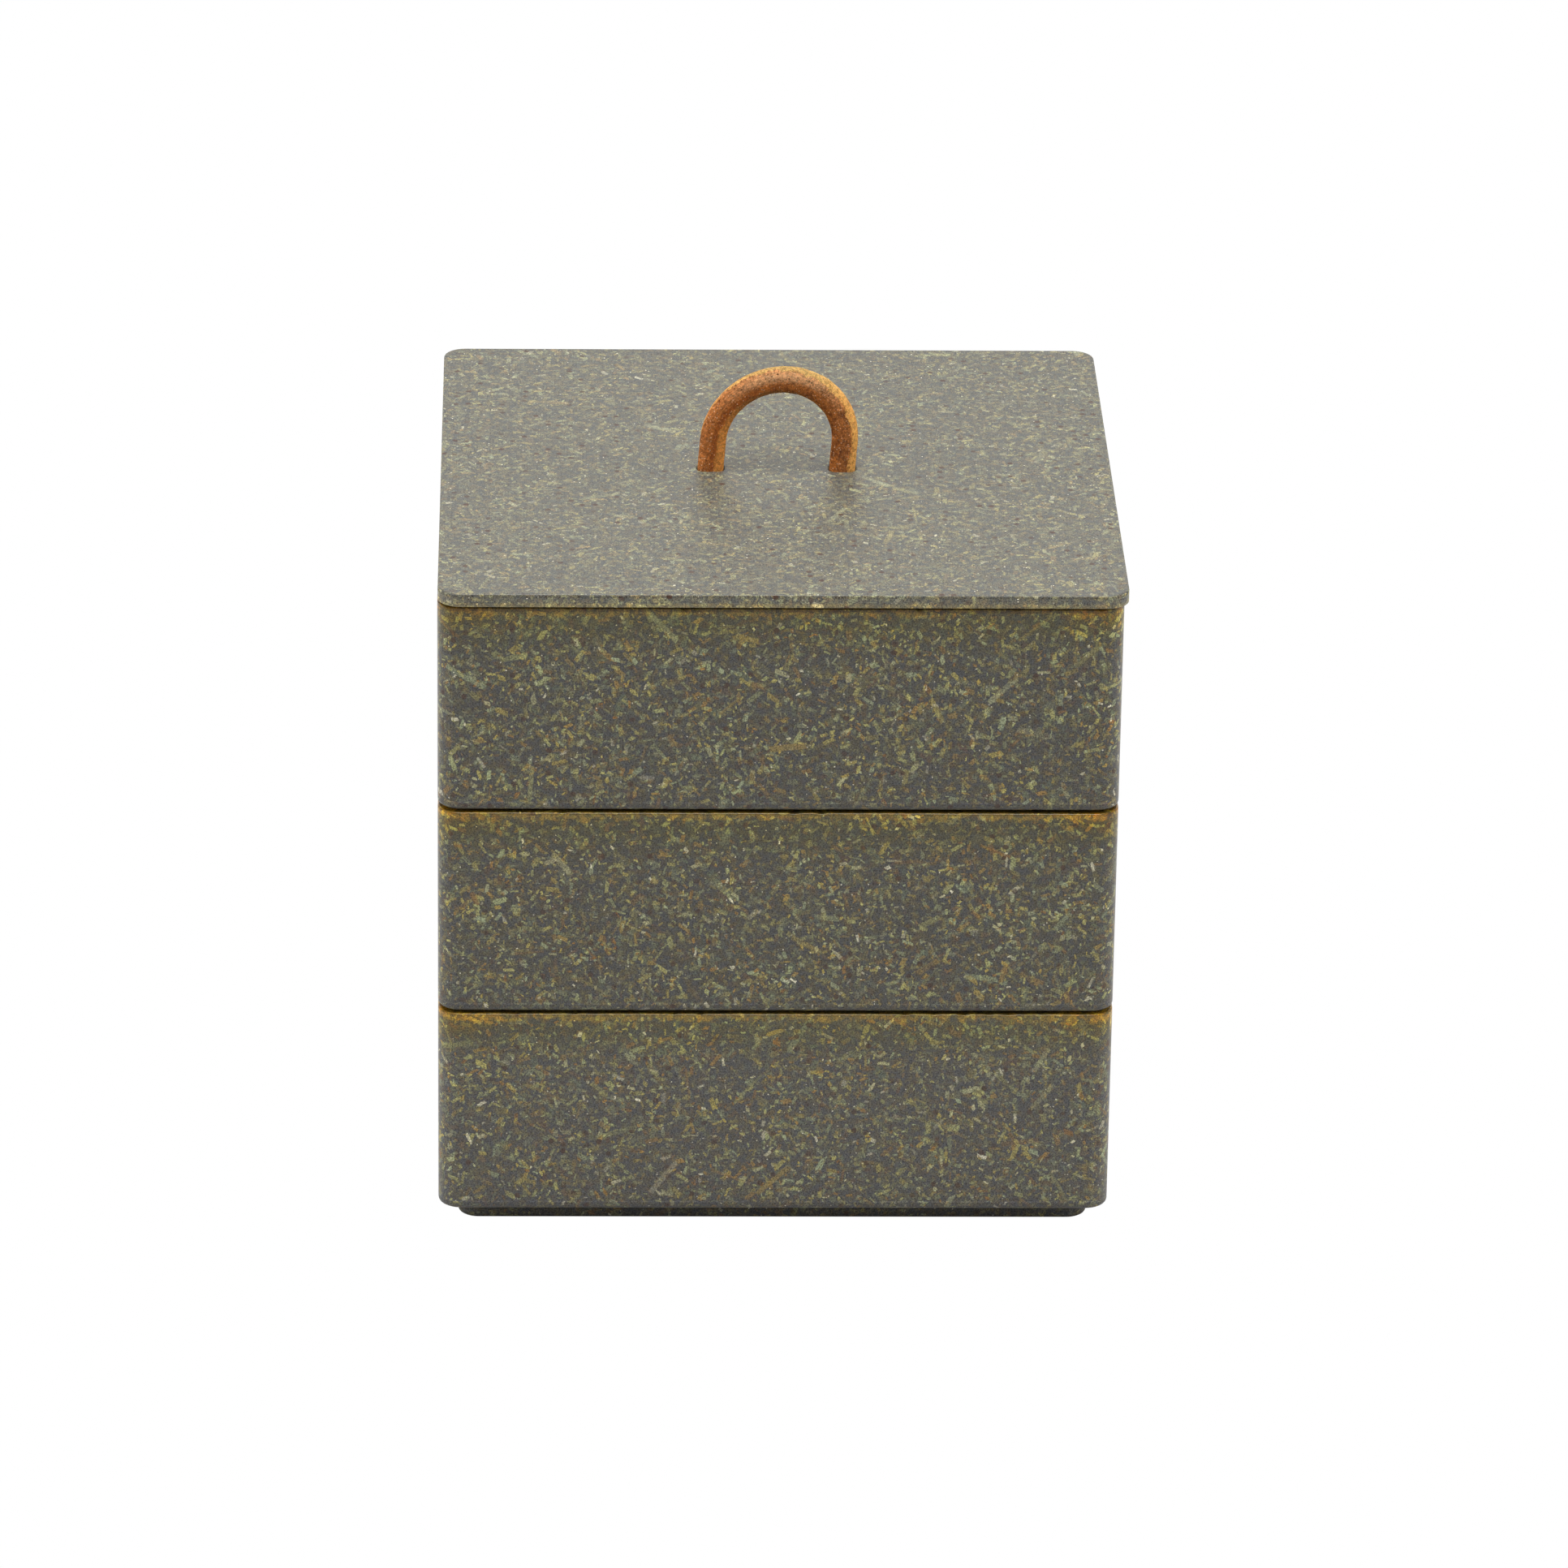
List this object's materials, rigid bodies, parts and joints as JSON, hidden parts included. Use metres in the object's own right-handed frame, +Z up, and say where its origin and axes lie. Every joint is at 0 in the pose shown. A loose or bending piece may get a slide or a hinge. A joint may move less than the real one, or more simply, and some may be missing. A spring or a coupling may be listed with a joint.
{
  "type": "bento box",
  "caption": "Square stacking food box: equal open trays nested by foot rings, under a flat lid with a leather loop handle.",
  "frame": {"origin": "middle of the resting face under the lowest tray", "axes": "+Z up through the stack, +Y from front to back, +X to the right, along the handle's span"},
  "size_m": [0.1509, 0.1509, 0.1776],
  "materials": {
    "flaked_resin": "satin dark grey resin filled with small yellow-green, straw and brown plant flakes",
    "leather": "raw vegetable-tanned leather, reddish brown with orange-tan edges, fibrous"
  },
  "bodies": {
    "bottom_tray": {"bottom_tray": "flaked_resin"},
    "middle_tray": {"middle_tray": "flaked_resin"},
    "top_tray": {"top_tray": "flaked_resin"},
    "lid": {"lid": "flaked_resin", "handle_loop": "leather"}
  },
  "joints": [
    {"name": "middle_tray_lift", "type": "slide", "parent": "bottom_tray", "child": "middle_tray", "axis": [0, 0, 1], "range_m": [0, 0.06]},
    {"name": "top_tray_lift", "type": "slide", "parent": "middle_tray", "child": "top_tray", "axis": [0, 0, 1], "range_m": [0, 0.06]},
    {"name": "lid_lift", "type": "slide", "parent": "top_tray", "child": "lid", "axis": [0, 0, 1], "range_m": [0, 0.06]}
  ]
}
